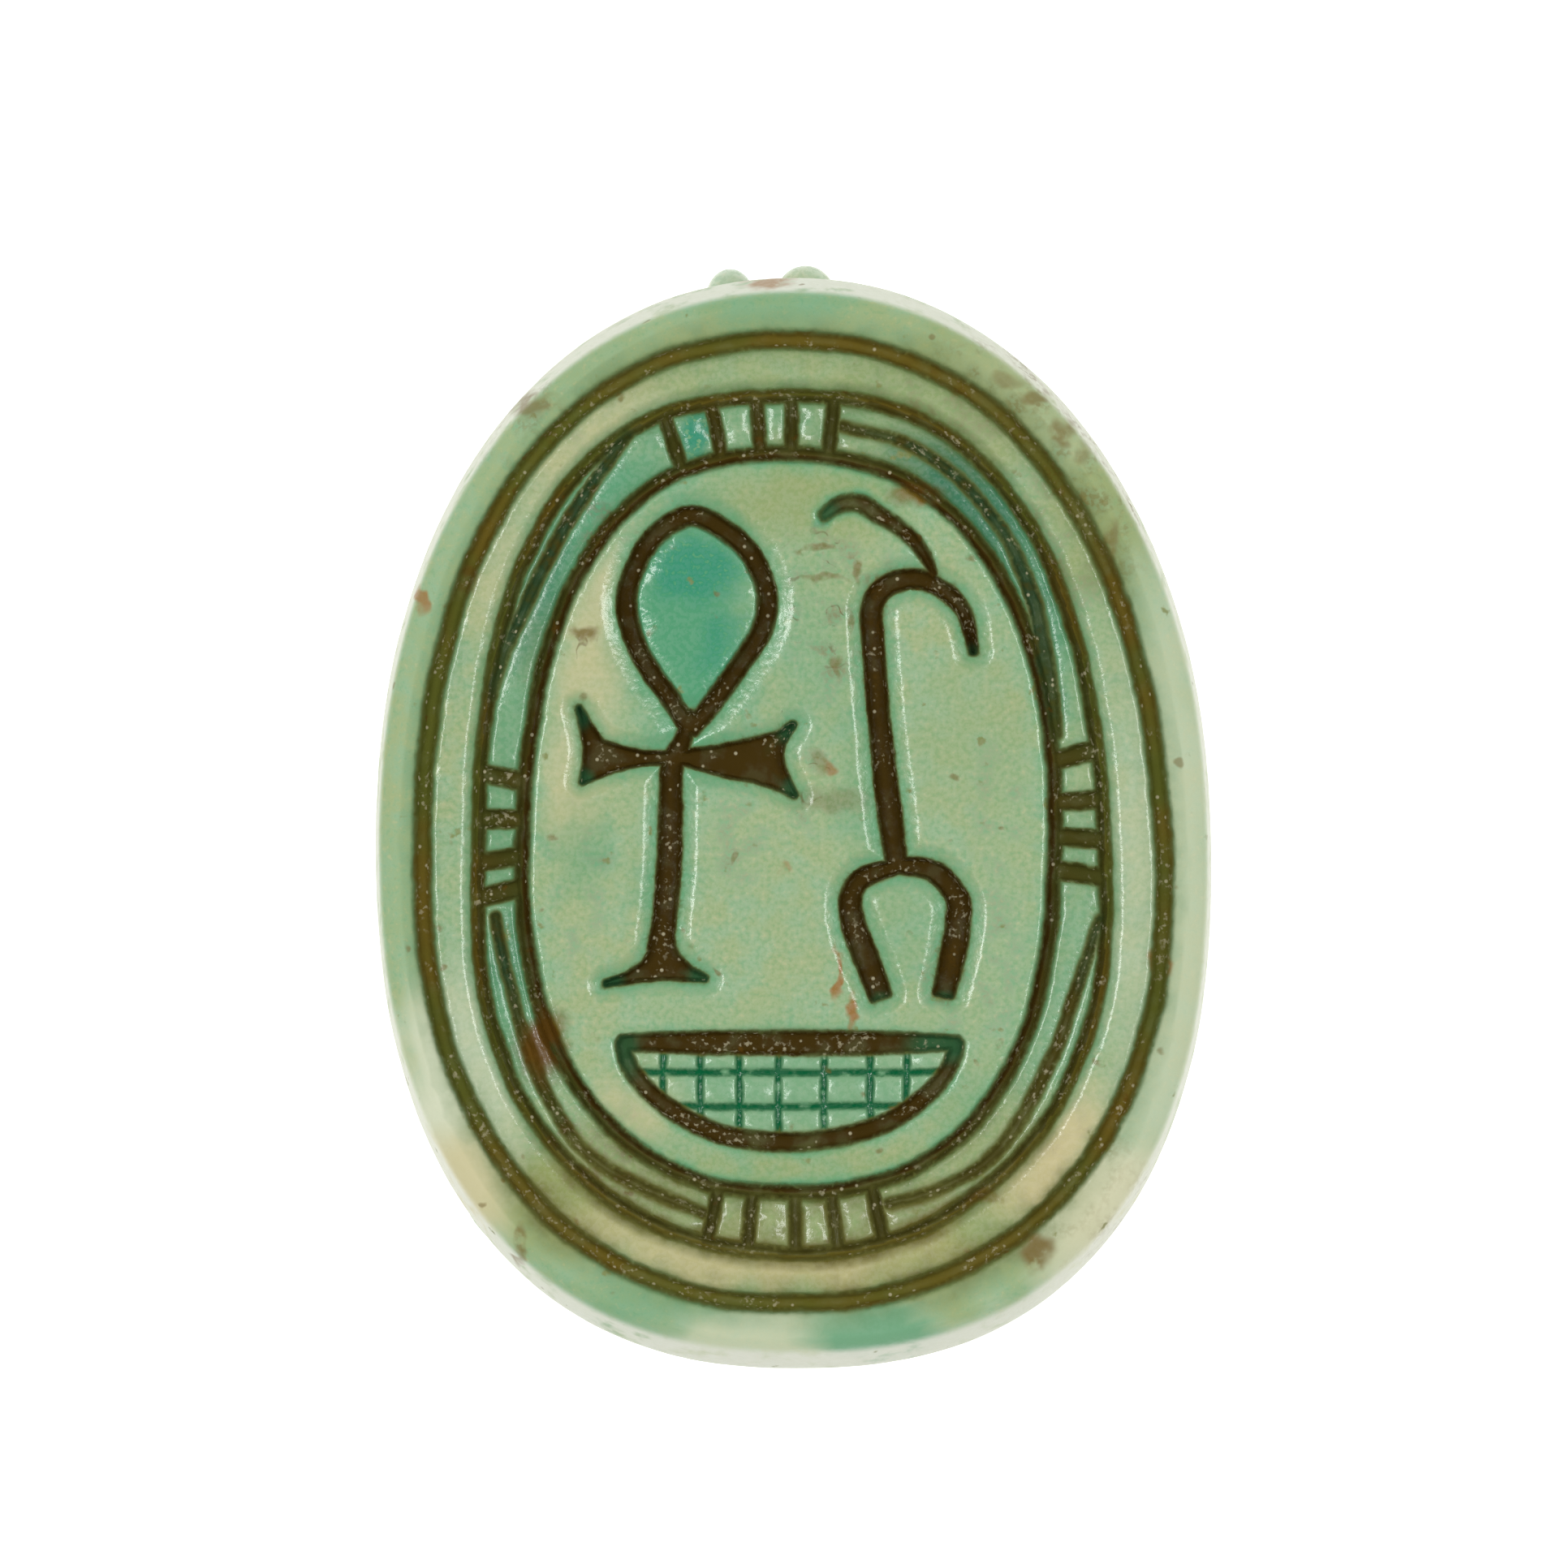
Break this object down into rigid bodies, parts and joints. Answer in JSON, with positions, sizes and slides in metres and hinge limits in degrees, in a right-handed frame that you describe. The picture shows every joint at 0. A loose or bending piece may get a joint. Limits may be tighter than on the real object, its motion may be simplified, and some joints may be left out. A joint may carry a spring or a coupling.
{
  "type": "scarab seal",
  "caption": "Small glazed soapstone scarab seal lying on the beetle's back, its oval seal face engraved with a bound-cord border, a looped cross, a forked staff and a basket.",
  "frame": {"origin": "under the middle of the piece, on the surface that it lies on", "axes": "+Z out of the engraved seal face, +Y towards the beetle's head, +X to the right of the seal face seen with the head end up"},
  "size_m": [0.0128, 0.017, 0.0076],
  "materials": {
    "green_glaze": "gloss"
  },
  "bodies": {
    "root": {"scarab": "green_glaze"}
  },
  "joints": []
}
